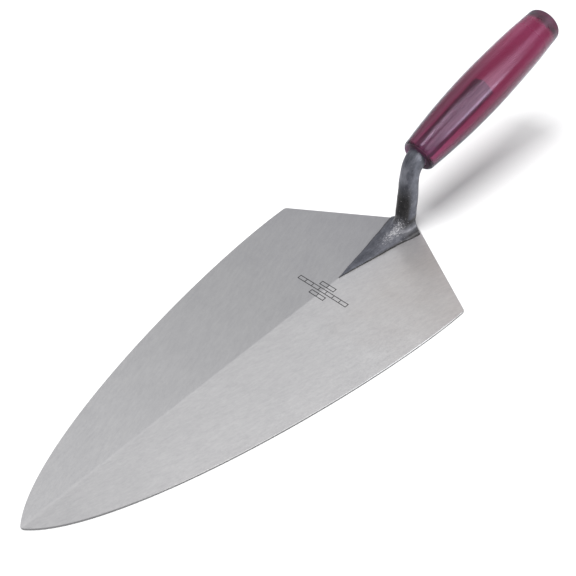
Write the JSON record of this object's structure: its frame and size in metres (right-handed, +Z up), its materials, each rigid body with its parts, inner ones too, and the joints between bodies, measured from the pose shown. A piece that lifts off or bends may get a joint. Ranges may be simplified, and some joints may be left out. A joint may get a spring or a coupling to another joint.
{
  "type": "brick trowel",
  "caption": "Brick trowel with a broad pointed steel blade, a forged heel and bent shank, and a translucent plum handle.",
  "frame": {"origin": "bottom centre of the bounding box, on the plane of the blade's flat underside", "axes": "+X along the tool from the handle to the blade's tip, +Z up from the underside; Y is across the blade"},
  "size_m": [0.4034, 0.1396, 0.0821],
  "materials": {
    "ground_steel": "satin, finely belt-ground along the blade",
    "forged_steel": "dark blue-grey forge scale with worn bright scuffs",
    "ruby_plastic": "polished translucent ruby-plum plastic"
  },
  "bodies": {
    "root": {"blade": "ground_steel", "shank": "forged_steel", "handle": "ruby_plastic"}
  },
  "joints": []
}
